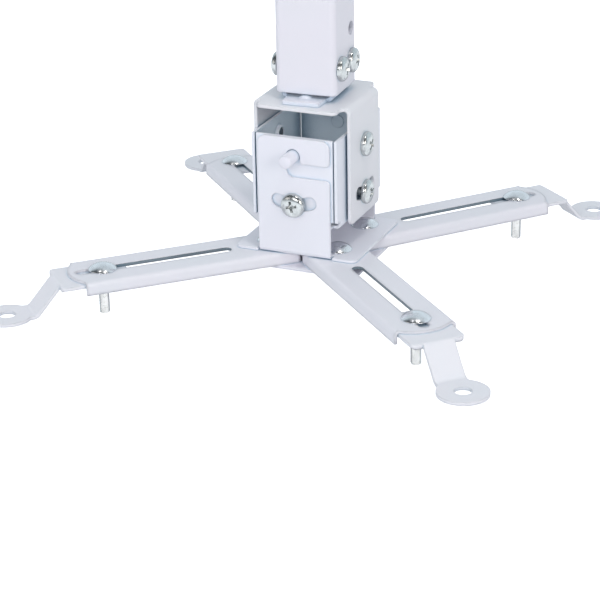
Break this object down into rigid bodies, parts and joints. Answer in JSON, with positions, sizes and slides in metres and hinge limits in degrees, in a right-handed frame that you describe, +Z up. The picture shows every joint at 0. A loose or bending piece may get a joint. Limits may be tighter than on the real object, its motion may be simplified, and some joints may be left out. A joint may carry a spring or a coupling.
{
  "type": "projector mount",
  "caption": "White sheet steel ceiling mount for a projector: square pole, tilting yoke and box, and legs with sliding ring feet on a base plate.",
  "frame": {"origin": "on the pole's axis, in the plane of the four foot bolts' ends that the mount stands on", "axes": "+Z up along the pole, +X to the right through the pitch pivots, -Y to the front through the roll studs"},
  "size_m": [0.2531, 0.2541, 0.1729],
  "materials": {
    "white_powder_coat": "satin powder coat",
    "bright_zinc": "bright zinc plate"
  },
  "bodies": {
    "base": {"base_plate": "white_powder_coat", "bottom_plate": "white_powder_coat", "leg_pivot_bolt_front_left": "bright_zinc", "leg_pivot_bolt_front_right": "bright_zinc", "leg_pivot_bolt_back_right": "bright_zinc", "leg_pivot_bolt_back_left": "bright_zinc", "leg_pivot_nut_front_left": "bright_zinc", "leg_pivot_nut_front_right": "bright_zinc", "leg_pivot_nut_back_right": "bright_zinc", "leg_pivot_nut_back_left": "bright_zinc"},
    "box": {"tilt_box": "white_powder_coat", "pitch_pivot_screw_left": "bright_zinc", "pitch_pivot_spacer_left": "bright_zinc", "pitch_lock_screw_left": "bright_zinc", "pitch_pivot_screw_right": "bright_zinc", "pitch_pivot_spacer_right": "bright_zinc", "pitch_lock_screw_right": "bright_zinc", "roll_stud_front": "white_powder_coat", "roll_lock_screw_front": "bright_zinc", "roll_stud_back": "white_powder_coat", "roll_lock_screw_back": "bright_zinc"},
    "yoke": {"yoke": "white_powder_coat"},
    "pole": {"pole_tube": "white_powder_coat", "neck_bracket": "white_powder_coat", "neck_screw_front_left": "bright_zinc", "neck_screw_front_right": "bright_zinc", "neck_screw_back_left": "bright_zinc", "neck_screw_back_right": "bright_zinc", "swivel_bolt": "bright_zinc", "swivel_washer": "bright_zinc", "swivel_nut": "bright_zinc"},
    "leg_front_left": {"leg_front_left": "white_powder_coat"},
    "foot_front_left": {"foot_front_left": "white_powder_coat", "foot_bolt_front_left": "bright_zinc", "foot_nut_front_left": "bright_zinc"},
    "leg_front_right": {"leg_front_right": "white_powder_coat"},
    "foot_front_right": {"foot_front_right": "white_powder_coat", "foot_bolt_front_right": "bright_zinc", "foot_nut_front_right": "bright_zinc"},
    "leg_back_right": {"leg_back_right": "white_powder_coat"},
    "foot_back_right": {"foot_back_right": "white_powder_coat", "foot_bolt_back_right": "bright_zinc", "foot_nut_back_right": "bright_zinc"},
    "leg_back_left": {"leg_back_left": "white_powder_coat"},
    "foot_back_left": {"foot_back_left": "white_powder_coat", "foot_bolt_back_left": "bright_zinc", "foot_nut_back_left": "bright_zinc"}
  },
  "joints": [
    {"name": "roll_tilt", "type": "hinge", "parent": "base", "child": "box", "pos_m": [0, 0, 0.0718], "axis": [0, 1, 0], "range_deg": [-15, 15]},
    {"name": "pitch_tilt", "type": "hinge", "parent": "box", "child": "yoke", "pos_m": [0, 0, 0.0718], "axis": [1, 0, 0], "range_deg": [-15, 15]},
    {"name": "pole_swivel", "type": "hinge", "parent": "yoke", "child": "pole", "pos_m": [0, 0, 0.0942], "axis": [0, 0, 1], "continuous": true},
    {"name": "leg_turn_front_left", "type": "hinge", "parent": "base", "child": "leg_front_left", "pos_m": [-0.0173, -0.0173, 0.022], "axis": [0, 0, 1], "range_deg": [-40, 40]},
    {"name": "leg_turn_front_right", "type": "hinge", "parent": "base", "child": "leg_front_right", "pos_m": [0.0173, -0.0173, 0.022], "axis": [0, 0, 1], "range_deg": [-40, 40]},
    {"name": "leg_turn_back_right", "type": "hinge", "parent": "base", "child": "leg_back_right", "pos_m": [0.0173, 0.0173, 0.022], "axis": [0, 0, 1], "range_deg": [-40, 40]},
    {"name": "leg_turn_back_left", "type": "hinge", "parent": "base", "child": "leg_back_left", "pos_m": [-0.0173, 0.0173, 0.022], "axis": [0, 0, 1], "range_deg": [-40, 40]},
    {"name": "foot_slide_front_left", "type": "slide", "parent": "leg_front_left", "child": "foot_front_left", "axis": [-0.7169, -0.6972, 0], "range_m": [-0.0575, 0.0088]},
    {"name": "foot_slide_front_right", "type": "slide", "parent": "leg_front_right", "child": "foot_front_right", "axis": [0.7157, -0.6984, 0], "range_m": [-0.06, 0.0063]},
    {"name": "foot_slide_back_right", "type": "slide", "parent": "leg_back_right", "child": "foot_back_right", "axis": [0.6455, 0.7638, 0], "range_m": [-0.06, 0.0063]},
    {"name": "foot_slide_back_left", "type": "slide", "parent": "leg_back_left", "child": "foot_back_left", "axis": [-0.7071, 0.7071, 0], "range_m": [-0.066, 0.0003]}
  ]
}
